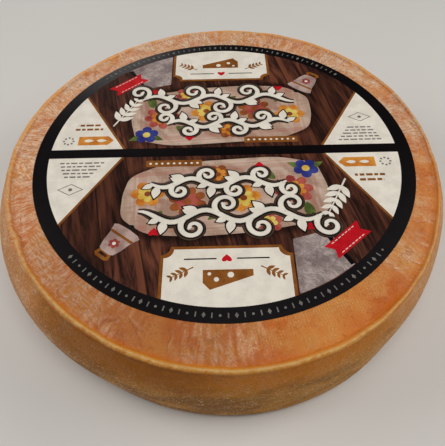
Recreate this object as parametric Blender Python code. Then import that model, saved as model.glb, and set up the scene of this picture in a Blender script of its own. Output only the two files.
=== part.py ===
"""A whole wheel of washed-rind raclette cheese with a round paper label on its top face.

Lengths are metres, +Z is up, and the wheel rests on the plane z = 0. The camera side of the
wheel is -Y, and angles run counter-clockwise from +X.
"""

import math

import bmesh
import bpy
from mathutils import Vector, noise

# Driving dimensions
LABEL_RADIUS = 0.130
LABEL_THICKNESS = 0.0004
LABEL_GAP = 0.0003
RIM_RADIUS = 0.149
WHEEL_HEIGHT = 0.066

# The label was stuck on a little off the wheel's own centre.
LABEL_OFFSET = Vector((0.0, 0.0018, 0.0))

# The top face falls a little towards its edge, where the mould leaves a raised lip.
FACE_FALL = 0.0008
LIP_RISE = 0.0018
LIP_HALF_WIDTH = 0.0021
GROOVE_WIDTH = 0.0030
GROOVE_DEPTH = 0.0007
LIP_FOOT_Z = WHEEL_HEIGHT - LIP_RISE
TOP_FACE_Z = LIP_FOOT_Z + FACE_FALL

# The side swells out between the two faces and leans out a little towards the base.
WAIST_SWELL = 0.0076
BASE_FLARE = 0.0036
BASE_CORNER_RADIUS = 0.008

# How far the rim and the waist are from round, and where each is widest.
RIM_OVAL = 0.0045
RIM_OVAL_TURN = math.radians(90)
RIM_LOBES = 0.0012
RIM_LOBES_TURN = math.radians(49)
WAIST_OVAL = 0.0056
WAIST_OVAL_TURN = math.radians(17)

# Soft unevenness of a face that was pressed in cloth.
TOP_DENT_DEPTH = 0.0007
TOP_DENT_SIZE = 0.030
SIDE_DENT_DEPTH = 0.0006
SIDE_DENT_SIZE = 0.042
LIP_DENT_DEPTH = 0.0006
LIP_DENT_SIZE = 0.018

STEPS_ROUND = 144
LABEL_STEPS = 128
FACE_RINGS = (0.050, 0.095, 0.128, 0.134)
SIDE_RINGS = 11
CORNER_RINGS = 4


def smooth_step(low, high, value):
    share = min(max((value - low) / (high - low), 0.0), 1.0)
    return share * share * (3.0 - 2.0 * share)


def side_radius(depth_share):
    """Radius of the even side at a share of the height below the rim, 0 at the rim and 1 at the base."""
    return RIM_RADIUS + WAIST_SWELL * math.sin(math.pi * depth_share) + BASE_FLARE * depth_share


def top_profile():
    """(radius, z) from the axis out to the outer foot of the lip."""
    points = [(0.0, TOP_FACE_Z)]
    points += [(radius, TOP_FACE_Z) for radius in FACE_RINGS]
    lip_start = RIM_RADIUS - LIP_HALF_WIDTH - GROOVE_WIDTH
    middle = (FACE_RINGS[-1] + lip_start) / 2
    points += [(middle, TOP_FACE_Z - FACE_FALL / 2), (lip_start, LIP_FOOT_Z)]
    points.append((lip_start + GROOVE_WIDTH / 2, LIP_FOOT_Z - GROOVE_DEPTH))
    for turn in range(0, 181, 36):
        across = -LIP_HALF_WIDTH * math.cos(math.radians(turn))
        rise = LIP_RISE * math.sin(math.radians(turn))
        points.append((RIM_RADIUS + across, LIP_FOOT_Z + rise))
    return points


def side_profile():
    """(radius, z) down the side, round the base's corner and in across the base to the axis."""
    points = []
    side_top = LIP_FOOT_Z - 0.0030
    for ring in range(SIDE_RINGS):
        z = side_top + (BASE_CORNER_RADIUS - side_top) * ring / (SIDE_RINGS - 1)
        points.append((side_radius(1.0 - z / WHEEL_HEIGHT), z))
    corner_x = points[-1][0] - BASE_CORNER_RADIUS
    for ring in range(1, CORNER_RINGS + 1):
        turn = math.radians(90) * ring / CORNER_RINGS
        radius = corner_x + BASE_CORNER_RADIUS * math.cos(turn)
        points.append((radius, BASE_CORNER_RADIUS * (1.0 - math.sin(turn))))
    points += [(corner_x / 2, 0.0), (0.0, 0.0)]
    return points


def lobes(angle, count, turn):
    return math.cos(count * (angle - turn))


def uneven(vertex_place, size, offset):
    return noise.noise(vertex_place / size + Vector((offset, offset, offset)))


def outward_shift(angle, radius, z):
    """How far the oval rim and the swelling waist move a point of the round wheel outwards."""
    rim = RIM_OVAL * lobes(angle, 2, RIM_OVAL_TURN) + RIM_LOBES * lobes(angle, 3, RIM_LOBES_TURN)
    waist = WAIST_OVAL * lobes(angle, 2, WAIST_OVAL_TURN)
    depth_share = 1.0 - z / WHEEL_HEIGHT
    shift = rim + waist * math.sin(math.pi * depth_share)
    if z == 0.0:
        return shift * radius / RIM_RADIUS
    return shift * smooth_step(FACE_RINGS[-1], RIM_RADIUS - LIP_HALF_WIDTH, radius)


def settle(vertex):
    """Moves one point of the evenly spun wheel to its place on the real, hand-pressed one."""
    place = vertex.co.copy()
    radius = math.hypot(place.x, place.y)
    if radius < 1e-6:
        return
    outwards = Vector((place.x, place.y, 0.0)) / radius
    angle = math.atan2(place.y, place.x)
    shift = outward_shift(angle, radius, place.z)
    on_side = radius > RIM_RADIUS and place.z < LIP_FOOT_Z - 1e-4
    on_lip = radius > RIM_RADIUS - LIP_HALF_WIDTH * 1.01 and place.z > LIP_FOOT_Z - 1e-4
    if on_lip:
        vertex.co.z += LIP_DENT_DEPTH * min(uneven(outwards * RIM_RADIUS, LIP_DENT_SIZE, 3.7), 0.0)
        shift += LIP_DENT_DEPTH * uneven(outwards * RIM_RADIUS, LIP_DENT_SIZE, 11.3)
    elif on_side:
        shift += SIDE_DENT_DEPTH * uneven(place, SIDE_DENT_SIZE, 5.1)
    elif place.z > BASE_CORNER_RADIUS and radius > FACE_RINGS[-2]:
        sink = smooth_step(FACE_RINGS[-2], FACE_RINGS[-1] + 0.004, radius)
        vertex.co.z += TOP_DENT_DEPTH * sink * (uneven(place, TOP_DENT_SIZE, 8.9) - 0.5)
    vertex.co += outwards * shift


def principled(name, colour, roughness):
    material = bpy.data.materials.new(name)
    material.use_nodes = True
    shader = material.node_tree.nodes["Principled BSDF"]
    shader.inputs["Base Color"].default_value = (*colour, 1.0)
    shader.inputs["Roughness"].default_value = roughness
    shader.inputs["Metallic"].default_value = 0.0
    material.diffuse_color = (*colour, 1.0)
    return material


def object_from(mesh_builder, name, material):
    mesh = bpy.data.meshes.new(name)
    mesh_builder.to_mesh(mesh)
    mesh_builder.free()
    made = bpy.data.objects.new(name, mesh)
    made.data.materials.append(material)
    bpy.context.scene.collection.objects.link(made)
    return made


def make_wheel(material):
    """The wheel's outline spun about its axis, closed on the axis, and then made uneven."""
    builder = bmesh.new()
    outline = [builder.verts.new((radius, 0.0, z)) for radius, z in top_profile() + side_profile()]
    edges = [builder.edges.new(pair) for pair in zip(outline, outline[1:])]
    bmesh.ops.spin(
        builder,
        geom=outline + edges,
        axis=(0.0, 0.0, 1.0),
        cent=(0.0, 0.0, 0.0),
        angle=2 * math.pi,
        steps=STEPS_ROUND,
        use_merge=True,
    )
    bmesh.ops.remove_doubles(builder, verts=builder.verts, dist=1e-6)
    for vertex in builder.verts:
        settle(vertex)
    bmesh.ops.triangulate(builder, faces=builder.faces)
    bmesh.ops.recalc_face_normals(builder, faces=builder.faces)
    return object_from(builder, "cheese_wheel", material)


def make_label(material):
    """A thin round sheet that lies just over the top face."""
    builder = bmesh.new()
    bmesh.ops.create_cone(
        builder,
        cap_ends=True,
        cap_tris=True,
        segments=LABEL_STEPS,
        radius1=LABEL_RADIUS,
        radius2=LABEL_RADIUS,
        depth=LABEL_THICKNESS,
    )
    label = object_from(builder, "paper_label", material)
    label.location = LABEL_OFFSET
    label.location.z = TOP_FACE_Z + LABEL_GAP + LABEL_THICKNESS / 2
    return label


def centre_of_box(mesh):
    across = [vertex.co.x for vertex in mesh.vertices]
    along = [vertex.co.y for vertex in mesh.vertices]
    return Vector((min(across) + max(across), min(along) + max(along), 0.0)) / 2


def main():
    for old in list(bpy.data.objects):
        bpy.data.objects.remove(old, do_unlink=True)
    wheel = make_wheel(principled("washed rind", (0.56, 0.27, 0.10), 0.5))
    label = make_label(principled("printed paper", (0.10, 0.06, 0.05), 0.45))
    middle = centre_of_box(wheel.data)
    for piece in (wheel, label):
        piece.location -= middle


main()
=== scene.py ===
"""Looks of a raclette cheese wheel: its washed rind and the printed paper label on its top face.

Lengths are metres, +Z is up, the wheel rests on z = 0 and the camera stands on the -Y side.
Angles run counter-clockwise from +X. The print is drawn in millimetres from the label's centre.
"""

from math import acos, asin, atan2, copysign, cos, degrees, exp, hypot, pi, radians, sin, sqrt

import bpy
from mathutils import Matrix, Vector, noise


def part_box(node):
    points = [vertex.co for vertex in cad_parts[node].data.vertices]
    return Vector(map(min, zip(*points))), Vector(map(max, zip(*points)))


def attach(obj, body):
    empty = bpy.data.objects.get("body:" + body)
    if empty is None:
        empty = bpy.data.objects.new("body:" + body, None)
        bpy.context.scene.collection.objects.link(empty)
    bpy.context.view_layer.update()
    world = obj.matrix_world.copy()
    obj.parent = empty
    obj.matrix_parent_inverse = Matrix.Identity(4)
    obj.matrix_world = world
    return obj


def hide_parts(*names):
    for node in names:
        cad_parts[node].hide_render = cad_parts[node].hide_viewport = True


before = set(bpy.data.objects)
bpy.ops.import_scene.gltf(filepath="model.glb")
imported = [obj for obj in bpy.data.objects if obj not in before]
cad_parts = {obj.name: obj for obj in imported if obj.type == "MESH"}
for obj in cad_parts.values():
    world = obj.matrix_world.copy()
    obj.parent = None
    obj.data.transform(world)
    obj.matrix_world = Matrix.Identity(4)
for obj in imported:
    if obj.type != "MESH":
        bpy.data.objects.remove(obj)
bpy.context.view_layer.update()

MM = 0.001

# Sizes of the solid that the rind repeats with finer steps
RIM_RADIUS = 0.149
WHEEL_HEIGHT = 0.066
LABEL_RADIUS = 0.13
LABEL_OFFSET = Vector((0, 0.0018, 0))
FACE_FALL = 0.0008
FACE_EDGE_RADIUS = 0.134
DENT_START_RADIUS = 0.128
LIP_RISE = 0.0018
LIP_HALF_WIDTH = 0.0021
GROOVE_WIDTH = 0.003
GROOVE_DEPTH = 0.0007
LIP_FOOT_Z = WHEEL_HEIGHT - LIP_RISE
TOP_FACE_Z = LIP_FOOT_Z + FACE_FALL
LIP_INNER_RADIUS = RIM_RADIUS - LIP_HALF_WIDTH
LIP_START_RADIUS = LIP_INNER_RADIUS - GROOVE_WIDTH
WAIST_SWELL = 0.0076
BASE_FLARE = 0.0036
BASE_CORNER_RADIUS = 0.008
RIM_OVAL = 0.0045
RIM_OVAL_TURN = radians(90)
RIM_LOBES = 0.0012
RIM_LOBES_TURN = radians(49)
WAIST_OVAL = 0.0056
WAIST_OVAL_TURN = radians(17)
TOP_DENT_DEPTH = 0.0007
TOP_DENT_SIZE = 0.03
SIDE_DENT_DEPTH = 0.0006
SIDE_DENT_SIZE = 0.042
LIP_DENT_DEPTH = 0.0006
LIP_DENT_SIZE = 0.018

# How near a point has to be to count as on the ground, on the axis or on the lip
GROUND_LEVEL = 0.00001
ON_AXIS = 0.000001
LIP_MARGIN = 0.0001

# How finely the rind is cut up
STEPS_ROUND = 720
UNDER_LABEL_RADII = (0, 0.045, 0.09, 0.118, 0.1265)
FACE_STEP = 0.0009
GROOVE_STEPS = 6
LIP_STEPS = 14
SIDE_STEPS = 50
SIDE_START = 0.0012
CORNER_STEPS = 8
BASE_SHARES = (0.93, 0.82, 0.65, 0.4)

# Relief that only the rind shows. Rises and the creases' depth are in millimetres.
BLOOM_RISE = 0.22
BLOOM_SIZE = 0.026
FOLD_RISE = 0.75
FOLD_SIZE = 0.0046
CRUMB_RISE = 0.16
CRUMB_SIZE = 0.003
HOOP_RISE = 0.16
HOOP_LENGTH = 0.06
HOOP_HEIGHT = 0.0055
SIDE_GRAIN_RISE = 0.1
SIDE_GRAIN_SIZE = 0.0032
CREASE_DEPTH = 0.24
CREASE_REACH = 0.0026
RELIEF_START_RADIUS = LABEL_RADIUS - 0.001
RELIEF_FULL_RADIUS = LABEL_RADIUS + 0.003
SIDE_RELIEF_FADE = 0.006

# Where the rind is folded most, as a turn and a half width in degrees
FOLD_ZONES = ((-128, 26), (-92, 14), (178, 20), (64, 24), (-38, 12))

# How much of the groove inside the lip the smeared rind fills
GROOVE_FILLED = 0.6
# The lip is thinnest on the right and folded in at one place on the left.
THIN_LIP_TURN = -12
THIN_LIP_SPREAD = 62
THIN_LIP_SHARE = 0.36
TUCK_TURN = -151
TUCK_SPREAD = 4.6
TUCK_DEPTH = 0.002
TUCK_EDGES = (-0.002, 0.0015)
# Towards the back the lip is lower and the groove is full.
FLAT_LIP_TURN = radians(105)
FLAT_LIP_SHARE = 0.45
FLAT_FILL = 0.0007
FLAT_FILL_RADIUS = 0.136

# Creases in the top face, each from a turn in degrees and a radius in millimetres to another
CREASES = (
    (-92.6, 136, -92, 146), (-45.5, 136, -42, 143.5), (-137, 138, -131, 143),
    (-131, 143, -124, 140.5), (-159, 139, -152.5, 143), (-29, 135, -26.5, 141),
    (160, 133, 153, 141), (112, 134, 108, 143), (33, 133, 37, 142), (51, 134, 57, 145),
    (68, 133, 62, 144), (78, 134, 84, 143), (172, 134, 166, 143), (-146, 135, -140, 141),
    (-122, 134, -118.5, 145), (-119.5, 142, -115, 137), (-114, 135, -109, 141),
    (-104, 134, -102.5, 143), (-3, 134, 2, 143), (18, 134, 14, 142), (141, 134, 136, 143),
    (96, 134, 91, 143),
)

# Heights of the label and of each layer of print on it
SHEET_BOTTOM_Z = TOP_FACE_Z - 0.00015
SHEET_TOP_Z = TOP_FACE_Z + 0.00032
INK_STEP = 0.00004


def srgb(red, green, blue):
    """A colour of 0 to 255 parts as the linear one that a shader takes."""
    parts = [part / 255 for part in (red, green, blue)]
    return tuple(part / 12.92 if part <= 0.04045 else ((part + 0.055) / 1.055) ** 2.4 for part in parts)


def smooth_step(low, high, value):
    share = min(max((value - low) / (high - low), 0), 1)
    return share * share * (3 - 2 * share)


def on_circle(radius, turn):
    """The point at a turn in degrees on a circle round the origin."""
    return radius * cos(radians(turn)), radius * sin(radians(turn))


def add_object(name, data):
    made = bpy.data.objects.new(name, data)
    bpy.context.scene.collection.objects.link(made)
    return made


# The camera stands where the photograph was taken from.
CAMERA_FROM_LABEL = Vector((-0.003263, -0.239408, 0.23309))
CAMERA_YAW = 0.0072
CAMERA_PITCH = 0.9219
CAMERA_ROLL = -0.0162
CAMERA_LENS = 38.23


def label_centre():
    """The middle of the label on the plane of the top face."""
    low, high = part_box("paper_label")
    middle = (low + high) / 2
    return Vector((middle.x, middle.y, TOP_FACE_Z))


def add_camera():
    ahead = Vector((
        sin(CAMERA_YAW) * cos(CAMERA_PITCH),
        cos(CAMERA_YAW) * cos(CAMERA_PITCH),
        -sin(CAMERA_PITCH),
    ))
    level_right = Vector((cos(CAMERA_YAW), -sin(CAMERA_YAW), 0))
    level_up = level_right.cross(ahead)
    right = cos(CAMERA_ROLL) * level_right + sin(CAMERA_ROLL) * level_up
    up = cos(CAMERA_ROLL) * level_up - sin(CAMERA_ROLL) * level_right
    camera = add_object("camera", bpy.data.cameras.new("camera"))
    camera.data.lens = CAMERA_LENS
    camera.data.sensor_width = 36
    camera.data.clip_start = 0.01
    turn = Matrix((right, up, -ahead)).transposed().to_4x4()
    camera.matrix_world = Matrix.Translation(label_centre() + CAMERA_FROM_LABEL) @ turn
    bpy.context.scene.camera = camera


def math_method(operation, swapped=False):
    """A method of Signal that adds a Math node, with the signal as its first or its second value."""
    def method(self, other=0):
        first, second = (other, self) if swapped else (self, other)
        return self.finish.node("Math", {"operation": operation}, {0: first, 1: second})
    return method


class Signal:
    """A node's output that can be used in sums, each of which adds a Math node."""

    def __init__(self, finish, socket):
        self.finish = finish
        self.socket = socket

    __add__ = math_method("ADD")
    __radd__ = math_method("ADD", swapped=True)
    __sub__ = math_method("SUBTRACT")
    __rsub__ = math_method("SUBTRACT", swapped=True)
    __mul__ = math_method("MULTIPLY")
    __truediv__ = math_method("DIVIDE")
    __pow__ = math_method("POWER")
    __abs__ = math_method("ABSOLUTE")
    floor = math_method("FLOOR")
    highest = math_method("MAXIMUM")
    lowest = math_method("MINIMUM")
    sign = math_method("SIGN")
    sine = math_method("SINE")

    def rise(self, low, high):
        """0 below low, 1 above high and a smooth step between. With low above high it falls."""
        settings = {"interpolation_type": "SMOOTHSTEP"}
        low, high, start, end = (low, high, 0, 1) if low < high else (high, low, 1, 0)
        values = {"Value": self, "From Min": low, "From Max": high, "To Min": start, "To Max": end}
        return self.finish.node("MapRange", settings, values)


def thin_lines(signal, sharpness):
    """1 where a signal crosses zero, with a fall to 0 on both sides."""
    return (1 - abs(signal) * sharpness).highest(0)


def ripples(signal, pitch):
    """A sine wave along a signal."""
    return (signal * (2 * pi / pitch)).sine()


class Finish:
    """A material with one Principled shader, and the way in which its nodes are added."""

    def __init__(self, name, specular):
        self.material = bpy.data.materials.new(name)
        self.material.use_nodes = True
        self.tree = self.material.node_tree
        self.set("Specular IOR Level", specular)
        self.place = self.node("TexCoord", output="Object")

    def set(self, name, value):
        """Sets an input of the shader, or links a signal to it."""
        self.feed(self.tree.nodes["Principled BSDF"].inputs[name], value)

    def feed(self, socket, value):
        if isinstance(value, Signal):
            self.tree.links.new(value.socket, socket)
        elif socket.type == "RGBA":
            socket.default_value = (*value, 1)
        else:
            socket.default_value = value

    def node(self, kind, settings=None, inputs=None, output=0):
        made = self.tree.nodes.new("ShaderNode" + kind)
        for name, value in (settings or {}).items():
            setattr(made, name, value)
        for name, value in (inputs or {}).items():
            self.feed(made.inputs[name], value)
        return Signal(self, made.outputs[output])

    def attribute(self, name):
        return self.node("Attribute", {"attribute_name": name}, output="Fac")

    def parts(self, vector):
        split = self.node("SeparateXYZ", {}, {0: vector}).socket.node
        return [Signal(self, socket) for socket in split.outputs]

    def joined(self, x, y, z):
        return self.node("CombineXYZ", {}, {"X": x, "Y": y, "Z": z})

    def stretched(self, vector, scale):
        return self.node("VectorMath", {"operation": "MULTIPLY"}, {0: vector, 1: scale})

    def shifted(self, vector, shift):
        return self.node("VectorMath", {"operation": "ADD"}, {0: vector, 1: shift})

    def noise(self, vector, size, detail=3, roughness=0.55, distortion=0, output=0):
        values = {
            "Vector": vector,
            "Scale": 1 / size,
            "Detail": detail,
            "Roughness": roughness,
            "Distortion": distortion,
        }
        return self.node("TexNoise", {}, values, output)

    def mix(self, share, first, second):
        """Two colours mixed. A Mix node has these at its sockets 6 and 7, and the result at 2."""
        return self.node("Mix", {"data_type": "RGBA"}, {0: share, 6: first, 7: second}, 2)

    def layered(self, colour, *layers):
        """A colour with others laid over it in turn, each given as (share, colour)."""
        for share, other in layers:
            colour = self.mix(share, colour, other)
        return colour

    def relief(self, height_mm):
        """Bump by a height in millimetres."""
        self.set("Normal", self.node("Bump", {}, {"Height": height_mm, "Distance": MM}))


# Colours of the rind
RIND_ORANGE = srgb(212, 130, 56)
RIND_DEEP = srgb(195, 100, 30)
RIND_GOLD = srgb(216, 142, 52)
RIND_PINK = srgb(210, 134, 82)
# A pale colour, partly the rind's own and partly painted sheen
RIND_BLOOM_AND_SHEEN = srgb(216, 184, 156)
RIND_FILM = srgb(232, 186, 156)
# A painted highlight
RIND_PAINTED_GLINT = srgb(250, 226, 198)
RIND_CLOTH = srgb(238, 164, 88)
RIND_CLOTH_PALE = srgb(246, 188, 106)
RIND_CRACK = srgb(156, 74, 16)
# Painted shade
RIND_PAINTED_SHADE = srgb(122, 68, 34)
LIP_PALE = srgb(206, 156, 82)
# A painted highlight on the top of the lip
LIP_PAINTED_HIGHLIGHT = srgb(222, 184, 120)
LIP_SHADE = srgb(190, 124, 44)
LIP_GOLD = srgb(236, 164, 80)
GROOVE_ORANGE = srgb(196, 96, 18)
UNDER_LIP_AMBER = srgb(220, 130, 0)
SIDE_OCHRE = srgb(202, 134, 16)
SIDE_OLIVE = srgb(158, 100, 22)
# Painted shade on the side
SIDE_PAINTED_SHADE = srgb(84, 40, 6)
SIDE_TAN = srgb(208, 144, 94)
SIDE_FILM = srgb(222, 178, 144)
SIDE_SPECK = srgb(238, 208, 158)
SIDE_PIT = srgb(112, 66, 10)

# Sizes of the marks on the rind
BROAD_SIZE = 0.034
MIDDLING_SIZE = 0.01
FINE_SIZE = 0.003
SCALES_SIZE = 0.0014
GRAIN_SIZE = 0.0009
NET_SIZE = 0.0095
NET_WARP = 0.009
COMB_PITCH = 0.0012
CLOTH_PITCH = 0.00165
CLOTH_SKEW = 0.22
SPECK_SIZE = 0.0011
CLUMP_SIZE = 0.004
SIDE_PATCH_SIZE = 0.03
CRINKLE_SIZE = 0.0042
WRINKLE_SIZE = 0.0075
RIB_SIZE = 0.0013
WANDER_SIZE = 0.007
WANDER_REACH = 0.0034


def rind_finish():
    """Washed rind: orange skin with a pale bloomed film that partly stands in for sheen, painted
    highlights and painted shade, the cloth's imprint, a pale lip with a painted highlight along its top,
    and a browner side.

    The bare numbers are shares of a mix and the ends of a rise, set against the photograph.
    """
    rind = Finish("washed_rind", specular=0.16)
    place = rind.place
    x, y, z = rind.parts(place)
    from_rim = rind.attribute("from_rim") / MM
    beside_crease = rind.attribute("beside_crease") / MM
    bloomed, creased, ridged, folded = map(rind.attribute, ("bloomed", "creased", "ridged", "folded"))
    radius = (x * x + y * y) ** 0.5
    to_right = x / radius
    to_back = y / radius

    def round_rim(height):
        """Coordinates that don't spread outwards, so that marks stay as wide as at the rim."""
        return rind.joined(to_right * RIM_RADIUS, to_back * RIM_RADIUS, height)

    broad = rind.noise(place, BROAD_SIZE, detail=2)
    middling = rind.noise(rind.shifted(place, (0.3, 0.1, 0.2)), MIDDLING_SIZE)
    fine = rind.noise(rind.shifted(place, (0.7, 0.5, 0.1)), FINE_SIZE, roughness=0.6)
    scales_place = rind.shifted(place, (0.2, 0.4, 0.6))
    scales = rind.noise(scales_place, SCALES_SIZE, detail=2, roughness=0.6, distortion=0.6)
    grain = rind.noise(rind.shifted(place, (0.1, 0.6, 0.3)), GRAIN_SIZE, detail=1)
    off_middling = middling - 0.5
    off_fine = fine - 0.5
    off_broad = broad - 0.5

    # Creases run mostly outwards, and their net is warped so that none is straight.
    warp = rind.noise(place, NET_WARP, detail=2, roughness=0.5, output="Color")
    warp = rind.stretched(rind.shifted(warp, (-0.5,) * 3), (NET_WARP,) * 3)
    net_place = rind.shifted(round_rim(radius * 0.5), warp)
    net_values = {"Vector": net_place, "Scale": 1 / NET_SIZE}
    net = rind.node("TexVoronoi", {"feature": "DISTANCE_TO_EDGE"}, net_values)
    net = net.rise(0.06, 0) * folded * middling.rise(0.4, 0.6)

    # Crinkle lines of dried film, along which highlights are painted on the top face, and darker wrinkles
    crinkle_place = round_rim(radius * 0.7)
    crinkle_noise = rind.noise(crinkle_place, CRINKLE_SIZE, roughness=0.6, distortion=1.2)
    crinkles = thin_lines(crinkle_noise - 0.5, 13)
    wrinkle_place = rind.shifted(crinkle_place, (0.3, 0.2, 0.5))
    wrinkle_noise = rind.noise(wrinkle_place, WRINKLE_SIZE, detail=2, distortion=1.4)
    wrinkles = thin_lines(wrinkle_noise - 0.5, 20)

    # Combed lines of film that run outwards in some places and slant in others
    outward_place = round_rim(radius * 0.16)
    outward_lines = rind.noise(outward_place, COMB_PITCH, detail=2, distortion=0.5)
    slanting_place = rind.joined((x + y) * 0.7, (x - y) * 0.12, 0)
    slanting_lines = rind.noise(slanting_place, COMB_PITCH, detail=2, distortion=0.5)
    combed = outward_lines + (slanting_lines - outward_lines) * broad.rise(0.47, 0.53)
    combed = combed.rise(0.4, 0.6)

    gold_zone = (broad * 0.5 + middling * 0.5 + ridged * 0.2).rise(0.48, 0.6)
    skin = rind.layered(
        RIND_DEEP,
        (broad.rise(0.36, 0.64), RIND_ORANGE),
        (middling.rise(0.45, 0.7) * 0.32, RIND_PINK),
        (crinkles * folded * 0.5, RIND_CRACK),
        (gold_zone * 0.45, RIND_GOLD),
    )

    # The imprint of the cloth, strongest at the front right
    wander = (rind.noise(place, WANDER_SIZE, detail=2) - 0.5) * WANDER_REACH
    cloth_x = x + y * CLOTH_SKEW + wander
    cloth_y = y - x * CLOTH_SKEW - wander
    threads_across = ripples(cloth_x, CLOTH_PITCH)
    threads_along = (cloth_y * (2 * pi / CLOTH_PITCH) + threads_across.sign() * 1.2).sine()
    cloth = (threads_across * 0.65 + threads_along * 0.35).rise(-0.1, 0.8)
    cloth = cloth * (0.3 + scales.rise(0.38, 0.6) * 0.7)
    cloth_zone = to_right * 0.6 - to_back * 0.8 + off_middling * 0.5 + off_broad * 0.2
    cloth_zone = cloth_zone.rise(0.8, 0.98)
    cloth_zone = cloth_zone * (from_rim + off_middling * 20 + off_broad * 12).rise(5, 10)
    cloth_zone = cloth_zone * (0.35 + middling.rise(0.4, 0.58) * 0.65)
    cloth_mark = cloth * (0.06 + cloth_zone * 0.94)
    skin = rind.layered(
        skin,
        (cloth_zone * 0.5, RIND_CLOTH),
        (cloth_mark * 0.68, RIND_CLOTH_PALE),
        ((1 - cloth) * cloth_zone * 0.22, RIND_CRACK),
    )

    # Bloom and film that partly stand in for sheen, and painted highlights, which grow towards the back
    # and the left
    right_back = (to_right * 0.82 + to_back * 0.57).rise(0.75, 1)
    bloom_and_sheen_zone = (to_back - to_right * 0.1).rise(-1.1, 0.8)
    bloom_and_sheen_zone = (bloom_and_sheen_zone + right_back * 0.25).lowest(1)
    patches = bloomed * 0.35 + middling.rise(0.44, 0.55) * 0.65
    flecks = (scales * 0.6 + grain * 0.4).rise(0.42, 0.58)
    bloom_and_sheen = bloom_and_sheen_zone * (0.04 + patches * (0.48 + combed * 0.3) + flecks * 0.12) + right_back * 0.1
    dark_flecks = (scales * 0.4 + fine * 0.6).rise(0.47, 0.36)
    film_zone = bloom_and_sheen_zone * (0.35 + patches * 0.65)
    left = (to_right * -0.97 - to_back * 0.26).rise(0.6, 0.95)
    crinkle_zone = (film_zone + left * 0.4 + folded * 0.16).lowest(1)
    # Pale flecks painted as highlights on the skin
    painted_glints = (grain * 0.6 + scales * 0.6).rise(0.66, 0.76)
    painted_glint_zone = (0.06 + patches * patches * 0.26) * (0.35 + bloom_and_sheen_zone * 0.65) + ridged * 0.26
    skin = rind.layered(
        skin,
        (bloom_and_sheen.lowest(1) * 0.9, RIND_BLOOM_AND_SHEEN),
        (ridged * (0.12 + combed * 0.28 + flecks * 0.22), RIND_FILM),
        (dark_flecks * (0.42 - bloom_and_sheen_zone * 0.22) * (1 - cloth_zone), RIND_CRACK),
        (wrinkles * (0.12 + film_zone * 0.52), RIND_CRACK),
        # Highlights painted along the crinkle lines and the combed lines
        (crinkles * (0.5 + flecks * 0.5) * crinkle_zone * 0.55, RIND_PAINTED_GLINT),
        (combed.rise(0.55, 1) * crinkle_zone * 0.4, RIND_PAINTED_GLINT),
        (combed.rise(0.35, 0) * crinkle_zone * 0.38, RIND_GOLD),
        (painted_glints * painted_glint_zone, RIND_PAINTED_GLINT),
    )

    from_crease = beside_crease + off_fine * 1.6 + off_middling * 7
    crease_line = thin_lines(from_crease, 1.7) * creased.rise(0.15, 0.6)
    crease_line = crease_line * (0.25 + fine.rise(0.4, 0.56) * 0.75)
    crease_edge = from_crease.rise(0.2, 1) * creased.rise(0.2, 0.7)
    # Painted shade that darkens the front left of the top face
    painted_shade_front_left = (to_right * -0.42 - to_back * 0.91 + off_broad * 0.5).rise(0.72, 1)
    on_groove = from_rim.rise(6, 3) * from_rim.rise(0.2, 1.9)
    skin = rind.layered(
        skin,
        (net * 0.4, RIND_CRACK),
        (crease_edge * (0.06 + combed * 0.26), RIND_FILM),
        (crease_line * 0.55, RIND_CRACK),
        (painted_shade_front_left * 0.38, RIND_PAINTED_SHADE),
        (on_groove * (0.06 + to_back.rise(-0.2, -0.9) * 0.2), GROOVE_ORANGE),
    )

    # The side is amber under the lip at the front, tan behind, and speckled all over.
    side_noise = rind.noise(rind.stretched(place, (1, 1, 2.2)), SIDE_PATCH_SIZE)
    front = (to_back * -1).rise(0.55, 0.97)
    tan_share = (1 - front * 0.92 + side_noise - 0.5).rise(0, 1.1)
    amber = (from_rim + off_middling * 16).rise(-36, -8) * (0.12 + front * 0.88)
    fringe = (from_rim + off_fine * 3).rise(-5.5, -2.5) * (0.35 + front * 0.65)
    amber = amber.highest(fringe)
    specks = rind.noise(rind.stretched(place, (1, 1, 1.2)), SPECK_SIZE, detail=1, roughness=0.7)
    speck_zone = (side_noise * 0.5 + middling * 0.7 - 0.15 - amber * 0.12).rise(0.24, 0.56)
    side_film = (middling * 0.5 + side_noise * 0.5 + z * 1.2 - 0.05).rise(0.5, 0.6)
    side_film = side_film * (1 - front * 0.8)
    clumps = rind.noise(rind.shifted(place, (0.5, 0.8, 0.2)), CLUMP_SIZE, detail=2).rise(0.46, 0.6)
    speck_mask = specks.rise(0.53, 0.62) * (0.12 + speck_zone * 0.36 + clumps * 0.52)
    speck_mask = speck_mask * (1 - amber * 0.8)
    # Painted shade that darkens the side at the front left
    side_painted_shade = (to_right * -0.4 - to_back * 0.92 + off_middling * 0.1).rise(0.9, 1)
    side = rind.layered(
        SIDE_OLIVE,
        ((side_noise + to_right * 0.16).rise(0.38, 0.6), SIDE_OCHRE),
        (tan_share * 0.9, SIDE_TAN),
        (amber * (0.8 + side_noise * 0.3).lowest(1), UNDER_LIP_AMBER),
        (side_film * (0.15 + flecks * 0.35 + crinkles * 0.3), SIDE_FILM),
        (speck_mask * 0.85, SIDE_SPECK),
        (side_painted_shade * from_rim.rise(-36, -10) * 0.5, SIDE_PAINTED_SHADE),
        (specks.rise(0.44, 0.32) * 0.4, SIDE_PIT),
    )
    on_side = (from_rim + off_fine * 1.4).rise(-1.2, -2.2)

    # The lip is narrow and golden towards the back.
    flat_lip = (to_back * 0.97 - to_right * 0.26).rise(0, 0.5)
    ribs = rind.noise(round_rim(z * 0.5), RIB_SIZE, detail=2, roughness=0.6)
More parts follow.
